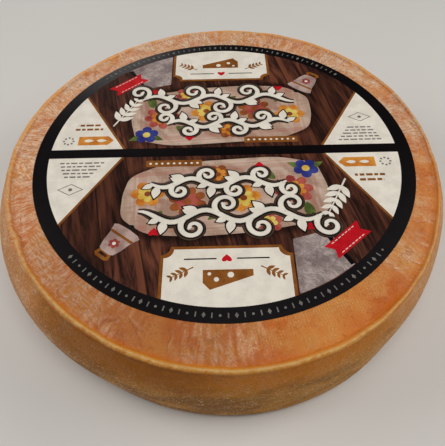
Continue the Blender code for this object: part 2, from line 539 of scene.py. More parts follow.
    # A painted highlight along the top of the lip
    painted_crest_highlight = (abs(from_rim + off_fine * 1.2 + flat_lip * 0.5) - 0.2).rise(0.7, 0.1)
    lip = rind.layered(
        LIP_SHADE,
        ((fine * 0.6 + ribs * 0.15 + grain * 0.25).rise(0.34, 0.62), LIP_PALE),
        (painted_crest_highlight * (0.35 + fine.rise(0.38, 0.62) * 0.35), LIP_PAINTED_HIGHLIGHT),
    )
    across_lip = from_rim + off_fine * 1.1 + off_middling * 1.6
    narrowing = ((to_back + 1) * 1.6).lowest(1) + flat_lip * 0.3
    on_lip = (across_lip - narrowing).rise(-2.5, -0.8) * (across_lip + narrowing * 0.6).rise(1.8, 0.2)
    beside_lip = across_lip.rise(3.4, 1.6) * across_lip.rise(0.4, 1.4)
    beside_lip = beside_lip * (0.25 + painted_shade_front_left * 0.45) * (1 - flat_lip)
    golden_edge = (across_lip + off_middling * 5).rise(2.8, -0.8) * across_lip.rise(-5, -3)
    skin = rind.layered(
        skin,
        (on_side, side),
        (beside_lip, UNDER_LIP_AMBER),
        (on_lip * 0.85, lip),
        (golden_edge * flat_lip * 0.65, LIP_GOLD),
    )

    rind.set("Base Color", skin)
    rind.set("Roughness", 0.26 + fine * 0.16 + on_side * 0.22)
    on_top = 1 - on_side
    height = scales * 0.3 + fine * 0.55 + middling * 0.6 + grain * 0.12 - crease_line * 0.14
    height = height + cloth * (0.06 + cloth_zone * 0.3) * on_top - net * 0.08
    height = height + (crinkles * 0.1 - wrinkles * 0.14 + combed * 0.16) * film_zone * on_top
    rind.relief(height + specks * on_side * 0.3)
    return rind.material


# The printed tea towel under the garlands, in millimetres from the label's centre
TOWEL_MIDDLE = (-1, 39.5)
TOWEL_TURN = 4
TOWEL_HALF_WIDTH = 67
TOWEL_HALF_HEIGHT = 31.5
TOWEL_SQUARENESS = 3.2
TOWEL_PALE = srgb(206, 182, 164)
TOWEL_SHADE = srgb(166, 134, 116)
TOWEL_STRIPE = srgb(164, 84, 72)
# The middle and the half width of each of its stripes, in metres, and the pitch of its checks
STRIPES_ACROSS = ((0.054, 0.0028), (0.0592, 0.0007))
STRIPES_ALONG = ((0.0225, 0.0022), (0.0265, 0.0006))
STRIPE_BLUR = 0.0006
CHECK_PITCH = 0.0135
THREAD_PITCH = 0.0011

WOOD_DARK = srgb(34, 18, 14)
WOOD_MID = srgb(90, 51, 40)
WOOD_RED = srgb(132, 77, 54)
WOOD_GAP = srgb(14, 8, 7)
PLANK_WIDTH = 0.023
PLANK_SLANT = 0.22

SLATE_DARK = srgb(138, 122, 120)
SLATE_PALE = srgb(182, 166, 162)
SLATE_VEIN = srgb(92, 78, 78)

# Sizes of the marks in the print and in the paper
WOOD_GRAIN_SIZE = 0.0026
WOOD_FIGURE_SIZE = 0.012
WOOD_TONE_SIZE = 0.05
TOWEL_FOLD_SIZE = 0.022
SLATE_VEIN_SIZE = 0.006
SLATE_TONE_SIZE = 0.012
PAPER_BLOTCH_SIZE = 0.009
PAPER_GRAIN_SIZE = 0.0007

PRINT_ROUGHNESS = 0.46
PRINT_SPECULAR = 0.07


def add_paper_relief(ink):
    """The slight unevenness of paper on a cheese."""
    blotch = ink.noise(ink.place, PAPER_BLOTCH_SIZE)
    grain_place = ink.shifted(ink.place, (0.4, 0.2, 0))
    grain = ink.noise(grain_place, PAPER_GRAIN_SIZE, detail=2, roughness=0.7)
    ink.relief(blotch * 0.035 + grain * 0.012)
    ink.set("Roughness", PRINT_ROUGHNESS - 0.06 + grain * 0.12)
    return (blotch * 0.7 + grain * 0.3).rise(0.38, 0.62)


def ink_finish(name, shade, colour):
    """One printed colour that drifts between a shade and a lighter tone."""
    ink = Finish("print_" + name, PRINT_SPECULAR)
    ink.set("Base Color", ink.mix(add_paper_relief(ink), srgb(*shade), srgb(*colour)))
    return ink.material


def in_half(finish, centre):
    """Coordinates from the label's centre, turned so that both halves get the same numbers."""
    x, y, z = finish.parts(finish.shifted(finish.place, (-centre.x, -centre.y, 0)))
    return x * y.sign(), abs(y)


def in_towel(across, along):
    """Coordinates along the towel's sides, and how far out a place is, with 1 at the hem."""
    turn = radians(TOWEL_TURN)
    across = across - TOWEL_MIDDLE[0] * MM
    along = along - TOWEL_MIDDLE[1] * MM
    u = across * cos(turn) + along * sin(turn)
    v = along * cos(turn) - across * sin(turn)
    share_u = abs(u / (TOWEL_HALF_WIDTH * MM)) ** TOWEL_SQUARENESS
    share_v = abs(v / (TOWEL_HALF_HEIGHT * MM)) ** TOWEL_SQUARENESS
    return u, v, (share_u + share_v) ** (1 / TOWEL_SQUARENESS)


def bands(signal, stripes):
    """1 in two stripes of a signal, each a middle and a half width, on either side of zero."""
    first, second = [
        abs(abs(signal) - middle).rise(half_width + STRIPE_BLUR, half_width - STRIPE_BLUR)
        for middle, half_width in stripes
    ]
    return first + second


def wood_finish(centre):
    """Printed dark planks with the towel's soft shadow on them."""
    wood = Finish("print_wood", PRINT_SPECULAR)
    across, along = in_half(wood, centre)
    lean = along * PLANK_SLANT + across
    plank = lean / PLANK_WIDTH
    number = plank.floor()
    in_plank = plank - number
    grain_place = wood.joined(lean, along * 0.12 + number * 0.37, number * 0.11)
    grain = wood.noise(grain_place, WOOD_GRAIN_SIZE, detail=4, roughness=0.7, distortion=0.6)
    figure = wood.noise(grain_place, WOOD_FIGURE_SIZE, detail=2, distortion=1.8)
    tone = wood.noise(wood.joined(number * 0.31, along * 0.3, 0.5), WOOD_TONE_SIZE, detail=1)
    gap = in_plank.rise(0.035, 0) + in_plank.rise(0.965, 1)
    u, v, from_middle = in_towel(across, along - 0.0015)
    wood.set("Base Color", wood.layered(
        WOOD_DARK,
        (grain.rise(0.36, 0.66), WOOD_MID),
        (figure.rise(0.46, 0.7) * 0.65, WOOD_RED),
        (tone.rise(0.35, 0.65) * 0.55, WOOD_DARK),
        (gap * 0.85, WOOD_GAP),
        (from_middle.rise(1.16, 0.98) * 0.75, WOOD_GAP),
    ))
    add_paper_relief(wood)
    return wood.material


def towel_finish(centre):
    """Printed linen with rose stripes along the hem, pale folds and a darker edge."""
    towel = Finish("print_towel", PRINT_SPECULAR)
    u, v, from_middle = in_towel(*in_half(towel, centre))
    fold_place = towel.joined(u + v * 0.6, v * 0.5 - u * 0.2, 0.3)
    folds = towel.noise(fold_place, TOWEL_FOLD_SIZE, detail=2, distortion=0.8)
    warp_threads = towel.noise(towel.joined(u, v * 0.12, 0.1), THREAD_PITCH, detail=1)
    weft_threads = towel.noise(towel.joined(u * 0.12, v, 0.7), THREAD_PITCH, detail=1)
    linen = (warp_threads + weft_threads) * 0.5
    woven = 0.55 + (linen - 0.5) * 1.6
    checks = (ripples(u, CHECK_PITCH).rise(0.1, 0.5) + ripples(v, CHECK_PITCH).rise(0.1, 0.5)) * 0.5
    towel.set("Base Color", towel.layered(
        TOWEL_SHADE,
        ((folds * 0.7 + linen * 0.3).rise(0.38, 0.6), TOWEL_PALE),
        (bands(u, STRIPES_ACROSS) * 0.55 * woven, TOWEL_STRIPE),
        (bands(v, STRIPES_ALONG) * 0.55 * woven, TOWEL_STRIPE),
        (checks * from_middle.rise(0.74, 0.7) * 0.22, TOWEL_STRIPE),
        (from_middle.rise(0.9, 1) * 0.35, TOWEL_SHADE),
    ))
    add_paper_relief(towel)
    return towel.material


def slate_finish():
    """A printed slab of pale stone with dark veins."""
    slate = Finish("print_slate", PRINT_SPECULAR)
    veins = slate.noise(slate.place, SLATE_VEIN_SIZE, detail=4, roughness=0.65, distortion=1.5)
    tone = slate.noise(slate.shifted(slate.place, (0.5, 0.2, 0)), SLATE_TONE_SIZE)
    slate.set("Base Color", slate.layered(
        SLATE_DARK,
        (tone.rise(0.36, 0.64), SLATE_PALE),
        (thin_lines(veins - 0.5, 12) * 0.55, SLATE_VEIN),
    ))
    add_paper_relief(slate)
    return slate.material


def floor_finish():
    floor = Finish("pale_floor", specular=0.3)
    tone = floor.noise(floor.place, 0.3, detail=2)
    floor.set("Base Color", floor.mix(tone, srgb(214, 212, 208), srgb(222, 220, 217)))
    floor.set("Roughness", 0.7)
    return floor.material


def only(piece):
    """Makes a piece the one selected and active object."""
    if bpy.context.object and bpy.context.object.mode != "OBJECT":
        bpy.ops.object.mode_set(mode="OBJECT")
    bpy.ops.object.select_all(action="DESELECT")
    piece.select_set(True)
    bpy.context.view_layer.objects.active = piece


def edit_all():
    bpy.ops.object.mode_set(mode="EDIT")
    bpy.ops.mesh.select_all(action="SELECT")


def leave_edit():
    bpy.ops.mesh.select_all(action="DESELECT")
    bpy.ops.object.mode_set(mode="OBJECT")


def close_up(threshold=1e-7):
    """Merges the doubles of the active piece and turns its faces outwards."""
    edit_all()
    bpy.ops.mesh.remove_doubles(threshold=threshold)
    bpy.ops.mesh.normals_make_consistent(inside=False)
    leave_edit()


def dress(piece, material, node):
    piece.data.materials.clear()
    piece.data.materials.append(material)
    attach(piece, "root")
    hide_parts(node)


def side_radius(z):
    """Radius of the even side at a height."""
    share = 1 - z / WHEEL_HEIGHT
    return RIM_RADIUS + WAIST_SWELL * sin(pi * share) + BASE_FLARE * share


def section_points():
    """(radius, z) from the axis across the top, over the lip, down the side and in under the base."""
    points = [(radius, TOP_FACE_Z) for radius in UNDER_LABEL_RADII]
    face_width = LIP_START_RADIUS - UNDER_LABEL_RADII[-1]
    face_steps = round(face_width / FACE_STEP)
    for step in range(1, face_steps + 1):
        radius = UNDER_LABEL_RADII[-1] + face_width * step / face_steps
        fall = max(radius - FACE_EDGE_RADIUS, 0) / (LIP_START_RADIUS - FACE_EDGE_RADIUS)
        points.append((radius, TOP_FACE_Z - FACE_FALL * fall))
    for step in range(1, GROOVE_STEPS):
        share = step / GROOVE_STEPS
        sink = GROOVE_DEPTH * sin(pi * share)
        points.append((LIP_START_RADIUS + GROOVE_WIDTH * share, LIP_FOOT_Z - sink))
    for step in range(LIP_STEPS + 1):
        turn = pi * step / LIP_STEPS
        across = LIP_HALF_WIDTH * cos(turn)
        points.append((RIM_RADIUS - across, LIP_FOOT_Z + LIP_RISE * sin(turn)))
    side_top = LIP_FOOT_Z - SIDE_START
    for step in range(SIDE_STEPS + 1):
        z = side_top + (BASE_CORNER_RADIUS - side_top) * step / SIDE_STEPS
        points.append((side_radius(z), z))
    corner_radius = points[-1][0] - BASE_CORNER_RADIUS
    for step in range(1, CORNER_STEPS + 1):
        across, up = on_circle(BASE_CORNER_RADIUS, 90 * step / CORNER_STEPS)
        points.append((corner_radius + across, BASE_CORNER_RADIUS - up))
    points += [(corner_radius * share, 0) for share in BASE_SHARES]
    points.append((0, 0))
    return points


def lobes(angle, count, turn):
    return cos(count * (angle - turn))


def uneven(place, size, offset):
    return noise.noise(place / size + Vector((offset, offset, offset)))


def near_turn(angle, turn, core, spread):
    """1 within some degrees of a turn and 0 beyond others, either way round, for an angle in radians."""
    apart = abs((degrees(angle) - turn + 180) % 360 - 180)
    return 1 - smooth_step(core, spread, apart)


def outward_shift(angle, radius, z):
    """How far the oval rim and the swelling waist move a point of the round wheel outwards."""
    rim = RIM_OVAL * lobes(angle, 2, RIM_OVAL_TURN) + RIM_LOBES * lobes(angle, 3, RIM_LOBES_TURN)
    waist = WAIST_OVAL * lobes(angle, 2, WAIST_OVAL_TURN)
    shift = rim + waist * sin(pi * (1 - z / WHEEL_HEIGHT))
    if z < GROUND_LEVEL:
        return shift * radius / RIM_RADIUS
    return shift * smooth_step(FACE_EDGE_RADIUS, LIP_INNER_RADIUS, radius)


def nearest_crease(place):
    """How much the nearest crease reaches a place, from 0 to 1, and how far the place lies to its left."""
    deepest = 0
    side = 0
    for turn_a, radius_a, turn_b, radius_b in CREASES:
        start = Vector(on_circle(radius_a * MM, turn_a))
        along = Vector(on_circle(radius_b * MM, turn_b)) - start
        share = min(max((place.xy - start).dot(along) / along.length_squared, 0), 1)
        away = (place.xy - start - along * share).length
        depth = sin(pi * (0.12 + 0.76 * share)) * exp(-((away / CREASE_REACH) ** 2))
        if depth > deepest:
            deepest = depth
            side = along.normalized().cross(place.xy - start)
    return deepest, side


def settle(place):
    """Moves one point of the evenly spun rind to where it lies on the real wheel.

    It gives the new place, the distance inwards from the lip's crest along the skin, how bloomed,
    creased, ridged and folded the skin is there, and how far it lies beside the nearest crease.
    """
    radius = hypot(place.x, place.y)
    if radius < ON_AXIS:
        from_rim = RIM_RADIUS if place.z > GROUND_LEVEL else -WHEEL_HEIGHT - RIM_RADIUS
        return place, from_rim, 0.0, 0.0, 0.0, 0.0, 0.0
    outwards = Vector((place.x, place.y, 0)) / radius
    round_rim = outwards * RIM_RADIUS
    angle = atan2(place.y, place.x)
    new = place.copy()
    shift = outward_shift(angle, radius, place.z)
    bloomed = uneven(place, BLOOM_SIZE, 21) + 0.3 * uneven(place, BLOOM_SIZE / 3, 5)
    bloomed = smooth_step(-0.04, 0.16, bloomed)
    folded = max(near_turn(angle, turn, 0.4 * spread, spread) for turn, spread in FOLD_ZONES)
    creased = beside_crease = ridged = 0.0
    flat = smooth_step(0, 0.5, cos(angle - FLAT_LIP_TURN))
    if radius > LIP_INNER_RADIUS - LIP_MARGIN and place.z > LIP_FOOT_Z - LIP_MARGIN:
        from_rim = RIM_RADIUS - radius
        across = from_rim / LIP_HALF_WIDTH
        inwards = min(max(across, 0), 1)
        new.z += LIP_DENT_DEPTH * min(uneven(round_rim, LIP_DENT_SIZE, 3.7), 0)
        new.z -= LIP_RISE * FLAT_LIP_SHARE * flat * cos(pi * 0.5 * across)
        new.z += FLAT_FILL * flat * (1 - sqrt(1 - inwards ** 2))
        crumb = CRUMB_RISE * MM * uneven(place, CRUMB_SIZE, 14)
        new.z += min(crumb, 0)
        thin = THIN_LIP_SHARE * near_turn(angle, THIN_LIP_TURN, 0.35 * THIN_LIP_SPREAD, THIN_LIP_SPREAD)
        tuck = TUCK_DEPTH * near_turn(angle, TUCK_TURN, 0, TUCK_SPREAD)
        shift += LIP_DENT_DEPTH * uneven(round_rim, LIP_DENT_SIZE, 11.3) + thin * from_rim
        shift += crumb * 0.8 - tuck * smooth_step(*TUCK_EDGES, from_rim)
    elif radius > RIM_RADIUS and place.z < LIP_FOOT_Z - LIP_MARGIN:
        from_rim = place.z - WHEEL_HEIGHT
        hoop_place = Vector((round_rim.x / HOOP_LENGTH, round_rim.y / HOOP_LENGTH, place.z / HOOP_HEIGHT))
        relief = HOOP_RISE * noise.noise(hoop_place)
        relief += SIDE_GRAIN_RISE * uneven(place, SIDE_GRAIN_SIZE, 44)
        shift += SIDE_DENT_DEPTH * uneven(place, SIDE_DENT_SIZE, 5.1)
        shift += relief * MM * smooth_step(LIP_FOOT_Z, LIP_FOOT_Z - SIDE_RELIEF_FADE, place.z)
    elif place.z > BASE_CORNER_RADIUS:
        from_rim = RIM_RADIUS - radius
        if radius > UNDER_LABEL_RADII[-1]:
            in_groove = min(max((radius - LIP_START_RADIUS) / GROOVE_WIDTH, 0), 1)
            filled = GROOVE_FILLED + (1 - GROOVE_FILLED) * flat
            new.z += GROOVE_DEPTH * filled * sin(pi * in_groove)
            new.z += FLAT_FILL * flat * smooth_step(FLAT_FILL_RADIUS, LIP_INNER_RADIUS, radius)
            sink = smooth_step(DENT_START_RADIUS, FACE_EDGE_RADIUS + 0.004, radius)
            new.z += TOP_DENT_DEPTH * sink * (uneven(place, TOP_DENT_SIZE, 8.9) - 0.5)
            creased, beside_crease = nearest_crease(place)
            wrinkle_place = Vector((round_rim.x, round_rim.y, radius * 0.3))
            wrinkle = abs(uneven(wrinkle_place, FOLD_SIZE, 33)) * folded
            ridged = smooth_step(0.16, 0.4, wrinkle)
            beside_label = smooth_step(RELIEF_START_RADIUS, RELIEF_FULL_RADIUS, radius)
            beside_label *= smooth_step(LIP_INNER_RADIUS, LIP_START_RADIUS, radius)
            rise = BLOOM_RISE * (bloomed - 0.5) - FOLD_RISE * (0.35 - wrinkle) * folded
            new.z += MM * (beside_label * rise - CREASE_DEPTH * creased)
    else:
        from_rim = -WHEEL_HEIGHT - (RIM_RADIUS - radius)
    return new + outwards * shift, from_rim, bloomed, creased, ridged, folded, beside_crease


def add_rind(axis):
    """The wheel's section drawn point by point, spun round, closed on the axis and made uneven."""
    points = section_points()
    bpy.ops.object.select_all(action="DESELECT")
    bpy.ops.mesh.primitive_plane_add(size=0.001, location=(0, 0, 0))
    rind = bpy.context.object
    rind.name = "cheese_rind"
    edit_all()
    bpy.ops.mesh.merge(type="CENTER")
    bpy.ops.transform.translate(value=(points[0][0], 0, points[0][1]))
    for (radius, z), (next_radius, next_z) in zip(points, points[1:]):
        move = {"value": (next_radius - radius, 0, next_z - z)}
        bpy.ops.mesh.extrude_vertices_move(TRANSFORM_OT_translate=move)
    bpy.ops.mesh.select_all(action="SELECT")
    bpy.ops.mesh.spin(
        steps=STEPS_ROUND,
        angle=2 * pi,
        center=(0, 0, 0),
        axis=(0, 0, 1),
    )
    close_up(threshold=ON_AXIS)

    mesh = rind.data
    settled = [settle(vertex.co) for vertex in mesh.vertices]
    mesh.vertices.foreach_set("co", [part for row in settled for part in row[0] + axis])
    names = ("from_rim", "bloomed", "creased", "ridged", "folded", "beside_crease")
    for column, name in enumerate(names, start=1):
        layer = mesh.attributes.new(name, "FLOAT", "POINT")
        layer.data.foreach_set("value", [row[column] for row in settled])
    bpy.ops.object.shade_smooth()
    return rind


def mesh_from(curve, paths, closed):
    """A mesh piece from a curve with a spline along each path of (x, y, share of the width)."""
    for path in paths:
        spline = curve.splines.new("POLY")
        spline.points.add(len(path) - 1)
        for point, (x, y, share) in zip(spline.points, path):
            point.co = (x * MM, y * MM, 0, 1)
            point.radius = share
        spline.use_cyclic_u = closed
    only(add_object(curve.name, curve))
    bpy.ops.object.convert(target="MESH")
    return bpy.context.object


def plate(name, outlines, level):
    """A thin closed plate of print inside flat outlines. An outline inside another one is a hole."""
    flat = bpy.data.curves.new(name, "CURVE")
    flat.dimensions = "2D"
    flat.fill_mode = "BOTH"
    flat.extrude = INK_STEP * (level + 1) / 2
    piece = mesh_from(flat, [[(x, y, 1) for x, y in outline] for outline in outlines], closed=True)
    piece.location.z = SHEET_TOP_Z + INK_STEP * (level - 1) / 2
    bpy.ops.object.transform_apply()
    close_up()
    return piece


def strokes(name, paths, width, level):
    """Rounded strokes of print along paths, flattened to one level."""
    curve = bpy.data.curves.new(name, "CURVE")
    curve.dimensions = "3D"
    curve.bevel_depth = width * MM / 2
    curve.bevel_resolution = 2
    curve.use_fill_caps = True
    piece = mesh_from(curve, paths, closed=False)
    piece.scale.z = INK_STEP / (width * MM)
    piece.location.z = SHEET_TOP_Z + INK_STEP * (level - 0.5)
    bpy.ops.object.transform_apply()
    close_up()
    bpy.ops.object.shade_smooth()
    return piece


def both_halves(piece):
    """Adds the same print to the other half, turned half a turn about the label's centre."""
    only(piece)
    edit_all()
    bpy.ops.mesh.duplicate()
    bpy.ops.transform.rotate(value=pi, orient_axis="Z", center_override=(0, 0, 0))
    leave_edit()
    return piece


def joined(pieces, name):
    only(pieces[0])
    for piece in pieces[1:]:
        piece.select_set(True)
    if len(pieces) > 1:
        bpy.ops.object.join()
    bpy.context.object.name = name
    return bpy.context.object


# Levels of the print, from the sheet upwards, and how far apart two plates of one kind lie
WOOD, FIELD, MOTIF, OUTLINE, STROKE, DETAIL = range(1, 7)
LEVEL_NUDGE = 0.25

RING_INNER = 120.5
RING_MARKS_RADIUS = 125.3
RING_MARKS_SPACING = 2.05
RING_MARKS_COUNT = 47
BAR_HALF_WIDTH = 4.2
PANEL_FOOT_X = 70.5
PANEL_TURN = 30.5
PANEL_EDGE = 1.9
PLAQUE_HALF_WIDTH = 37
PLAQUE_FOOT_Y = 82
PLAQUE_NOTCH = 6
LEAF_STEPS = 10
HEART_STEPS = 28
PETAL_STEPS = 12
PETAL_NOTCH = 0.34
TOWEL_STEPS = 120
STEM_STEPS = 40
SCROLL_STEPS = 30
SCROLL_WINDS = 1.25


def add_sheet():
    """The round paper itself, printed black, with a softly rounded edge."""
    thickness = SHEET_TOP_Z - SHEET_BOTTOM_Z
    bpy.ops.object.select_all(action="DESELECT")
    bpy.ops.mesh.primitive_cylinder_add(
        vertices=256,
        radius=LABEL_RADIUS,
        depth=thickness,
        location=(0, 0, SHEET_BOTTOM_Z + thickness / 2),
    )
    sheet = bpy.context.object
    sheet.name = "label_sheet"
    bpy.ops.object.transform_apply()
    bevel = sheet.modifiers.new("soft edge", "BEVEL")
    bevel.width = thickness * 0.3
    bevel.segments = 2
    bpy.ops.object.modifier_apply(modifier=bevel.name)
    bpy.ops.object.shade_smooth_by_angle(angle=radians(30))
    return sheet


def placed(outline, x=0, y=0, turn=0, size=1):
    """An outline scaled, turned by degrees and moved."""
    across, along = on_circle(size, turn)
    return [(x + across * u - along * v, y + along * u + across * v) for u, v in outline]


def arc(radius, start, end, steps=64):
    """Points round an arc from one turn in degrees to another."""
    return [on_circle(radius, start + (end - start) * step / steps) for step in range(steps + 1)]


def disc(radius, steps):
    return [on_circle(radius, 360 * step / steps) for step in range(steps)]


def bar(width, height):
    x, y = width / 2, height / 2
    return [(-x, -y), (x, -y), (x, y), (-x, y)]


def leaf(length, width):
    """A pointed leaf from its stalk at the origin to its tip on the right."""
    shares = [step / LEAF_STEPS for step in range(LEAF_STEPS + 1)]
    upper = [(length * share, width / 2 * sin(pi * share ** 0.85)) for share in shares]
    return upper + [(x, -y) for x, y in upper[-2:0:-1]]


def swollen(outline, share):
    """An outline scaled about the middle of its points."""
    middle_x = sum(x for x, y in outline) / len(outline)
    middle_y = sum(y for x, y in outline) / len(outline)
    return [(middle_x + (x - middle_x) * share, middle_y + (y - middle_y) * share) for x, y in outline]


def heart(size):
    outline = []
    for step in range(HEART_STEPS):
        turn = 2 * pi * step / HEART_STEPS
        up = 0.81 * cos(turn) - 0.31 * cos(2 * turn) - 0.12 * cos(3 * turn)
        outline.append((size * sin(turn) ** 3, size * up))
    return outline


def rosette(radius, petals):
    """The outline of a flower with round-ended petals."""
    outline = []
    for step in range(petals * PETAL_STEPS):
        bulge = abs(cos(pi * step / PETAL_STEPS)) ** 0.7
        reach = radius * (1 - PETAL_NOTCH + PETAL_NOTCH * bulge)
        outline.append(on_circle(reach, 360 * step / (petals * PETAL_STEPS)))
    return outline


def end_panel(side, grow=0):
    """The panel between the centre bar, the ring and a slanting edge at one end of a half."""
    low_turn = degrees(asin(BAR_HALF_WIDTH / RING_INNER))
    outline = arc(RING_INNER, low_turn, PANEL_TURN + grow * 0.45, steps=24)
    outline.append((PANEL_FOOT_X - grow, BAR_HALF_WIDTH))
    return [(side * x, y) for x, y in outline]


def plaque(grow=0):
    """A plaque that hangs from the ring, with a round notch cut out of each lower corner."""
    half_width = PLAQUE_HALF_WIDTH + grow
    top_turn = degrees(acos(half_width / RING_INNER))
    outline = arc(RING_INNER, top_turn, 180 - top_turn, steps=32)
    for side, start in ((-1, 90), (1, 180)):
        notch = arc(PLAQUE_NOTCH, start, start - 90, steps=8)
        outline += placed(notch, side * half_width, PLAQUE_FOOT_Y - grow)
    return outline


def towel_outline():
    """A soft-cornered towel with a gently rippled hem."""
    power = 2 / TOWEL_SQUARENESS
    outline = []
    for step in range(TOWEL_STEPS):
        turn = 2 * pi * step / TOWEL_STEPS
        across = copysign(abs(cos(turn)) ** power, cos(turn))
        up = copysign(abs(sin(turn)) ** power, sin(turn))
        ripple = 1 + 0.01 * sin(9 * turn) + 0.008 * sin(5 * turn + 1)
        outline.append((TOWEL_HALF_WIDTH * across * ripple, TOWEL_HALF_HEIGHT * up * ripple))
    return outline


def scroll(x, y, turn, hand, length):
    """A tendril from (x, y) in a direction in degrees, curling to one hand and ending in a ball."""
    path = [(x, y, 1)]
    weights = [1 - 0.8 * step / SCROLL_STEPS for step in range(SCROLL_STEPS)]
    for step, weight in enumerate(weights, start=1):
        share = step / SCROLL_STEPS
        heading = radians(turn) + hand * SCROLL_WINDS * 2 * pi * share ** 1.1
        x += length / sum(weights) * weight * cos(heading)
        y += length / sum(weights) * weight * sin(heading)
        path.append((x, y, 1 - 0.42 * share if step < SCROLL_STEPS - 2 else 0.95))
    return path


def garland(start_x, end_x, middle_y, rise, wave, length):
    """Paths of a waving stem with a tendril in each bend, and the leaves that grow outside the bends."""
    def stem_y(x):
        return middle_y + rise * sin(2 * pi * (x - start_x) / wave)

    stem = []
    for step in range(STEM_STEPS + 1):
        x = start_x + (end_x - start_x) * step / STEM_STEPS
        share = 0.45 + 0.55 * sin(pi * min(step, STEM_STEPS - step, 6) / 12)
        stem.append((x, stem_y(x), share))
    paths = [stem]
    leaves = []
    for bend in range(int((end_x - start_x) / (wave / 2))):
        x = start_x + wave / 2 * (bend + 0.12)
        hand = -1 if bend % 2 == 0 else 1
        slope = degrees(atan2(stem_y(x + 0.5) - stem_y(x), 0.5))
        paths.append(scroll(x, stem_y(x), slope - hand * 12, -hand, length))
        tip = x + wave * 0.3
        leaves.append(placed(leaf(10.5, 5.8), tip, stem_y(tip), -hand * 62 + (18 if bend % 3 else 40)))
        leaves.append(placed(leaf(7.8, 4.4), tip + 3, stem_y(tip + 3), -hand * 24))
    return paths, leaves


def ring_marks():
    """A small border of bars, dots and diamonds that runs round the ring beyond each half."""
    diamond = [(-1.1, 0), (0, -1.75), (1.1, 0), (0, 1.75)]
    outlines = (diamond, bar(0.7, 3.1), disc(0.75, 10), bar(0.7, 3.1))
    marks = []
    for number in range(RING_MARKS_COUNT):
        turn = (number - (RING_MARKS_COUNT - 1) / 2) * RING_MARKS_SPACING
        place = on_circle(RING_MARKS_RADIUS, 90 + turn)
        marks.append(placed(outlines[number % 4], *place, turn))
    return marks


# Rows of small print marks in an end panel, each as height, start, end and the longest mark
SMALL_ROWS = (
    (9, 82, 112, 5),
    (12.2, 84, 111, 4),
    (15.4, 86, 110, 6),
    (18.6, 88, 108.5, 4.5),
    (21.8, 90, 107, 5.5),
)
LARGE_ROWS = ((25, 87, 107, 4.4), (29.4, 89.5, 105.5, 5.4))
ROW_GAP = 1.1


def row_marks(rows, height, side):
    """Rows of short bars whose lengths vary by a fixed rule."""
    marks = []
    for number, (y, x, end, longest) in enumerate(rows):
        while x < end:
            length = min(longest * (0.45 + 0.55 * ((number * 7) % 5) / 4), end - x)
            marks.append(placed(bar(length, height), side * (x + length / 2), y))
            x += length + ROW_GAP
            number += 1
    return marks


# Each garland's start, end, height, rise, wave length and tendril length
GARLANDS = ((-61, 55, 57, 4.6, 42, 38), (-41, 49, 29, 3.8, 36, 28))
GARLAND_WIDTH = 3.9
GARLAND_OUTLINE = 2.3
GARLAND_SHADE = 5.4

# Each blossom's place, radius, petals, turn, and its outer and inner ink
BLOSSOMS = (
    (-45, 37, 13, 8, 8, "berry", "orange"),
    (-12, 43, 11.5, 6, 14, "orange", "yellow"),
    (24, 45, 12.5, 8, 30, "rust", "berry"),
    (50, 38, 11, 6, 0, "orange", "yellow"),
    (-27, 63, 8.5, 6, 20, "berry", "yellow"),
    (4, 22, 9, 6, 4, "rust", "orange"),
)
# Each leaf's place, length, width and turn
BLOSSOM_LEAVES = (
    (-52, 47, 16, 7, 100),
    (-34, 27, 17, 7.5, -40),
    (-2, 50, 17, 7, 38),
    (12, 37, 15, 6.5, -150),
    (36, 36, 15, 6.5, -28),
    (40, 52, 14, 6, 60),
    (-16, 20, 13, 6, 150),
)
# Places of the other motifs, with a heart's size and a motif's turn last
HEARTS = ((-52, 67, 3.4), (44, 69, 3.4), (-24, 14, 3))
BLUE_FLOWER = (-55, 18)
RIBBON = (-73, 77, 40)
SPRIG = (-80, 28, 62)
BELL = (66, 75, -38)
LOZENGE = (101, 33)
SLATE_EDGE = (-63.75, 78)
SLATE_EDGE_WAY = (-18.5, 33)
SLATE_EDGE_WIDTH = 2.8


def bell_parts():
    """The ink, level and outlines of each part of the cow bell."""
    right = [(3.4, 9.6), (5.4, 8.6), (7, 4), (8.2, -3), (10.4, -9), (8, -10.4), (0, -11)]
    body = right + [(-x, y) for x, y in right[-2::-1]]
    band = [(8.3, -3.6), (8.9, -5.4), (-8.9, -5.4), (-8.3, -3.6)]
    strap = [(-4.6, 9.2), (4.6, 9.2), (5.6, 12.8), (3.6, 14.4), (-3.6, 14.4), (-5.6, 12.8)]
    strap_hole = [(-2.8, 10.4), (2.8, 10.4), (3.2, 12.2), (-3.2, 12.2)]
    clapper = [(2.4 * x, 2.8 * y - 12) for x, y in disc(1, 20)]
    return (
        ("outline", FIELD, [clapper]),
        ("brown", MOTIF, [strap, strap_hole]),
        ("rosy", OUTLINE, [body]),
        ("brown", STROKE, [band]),
        ("berry", STROKE, [placed(rosette(3.6, 6), 0, 2)]),
        ("cream", DETAIL, [placed(disc(1.2, 14), 0, 2)]),
    )


def wedge():
    """The outlines of a cut wedge of cheese with three round holes."""
    body = [(-15, -5.5), (14, -5.5), (14, 3), (10, 7.6), (-15, -1.2)]
    holes = ((1.9, 16, -2, -2), (1.5, 16, 6.2, 0.9), (1.1, 14, 10.2, -2.8))
    return [body] + [placed(disc(radius, steps), x, y) for radius, steps, x, y in holes]


def sprig(place, length, pairs, leaf_length):
    """The stem path and the leaves of a straight sprig, from its foot's (x, y, turn)."""
    steps = 8
    stem = placed([(length * step / steps, 0) for step in range(steps + 1)], *place)
    path = [(x, y, 1 - 0.5 * step / steps) for step, (x, y) in enumerate(stem)]
    leaves = []
    for pair in range(pairs):
        reach = length * (pair + 1.2) / (pairs + 0.6)
        size = leaf_length * (1 - 0.45 * pair / pairs)
        for hand in (-1, 1):
            leaves.append(placed(placed(leaf(size, size * 0.42), reach, 0, hand * 46), *place))
    return path, leaves


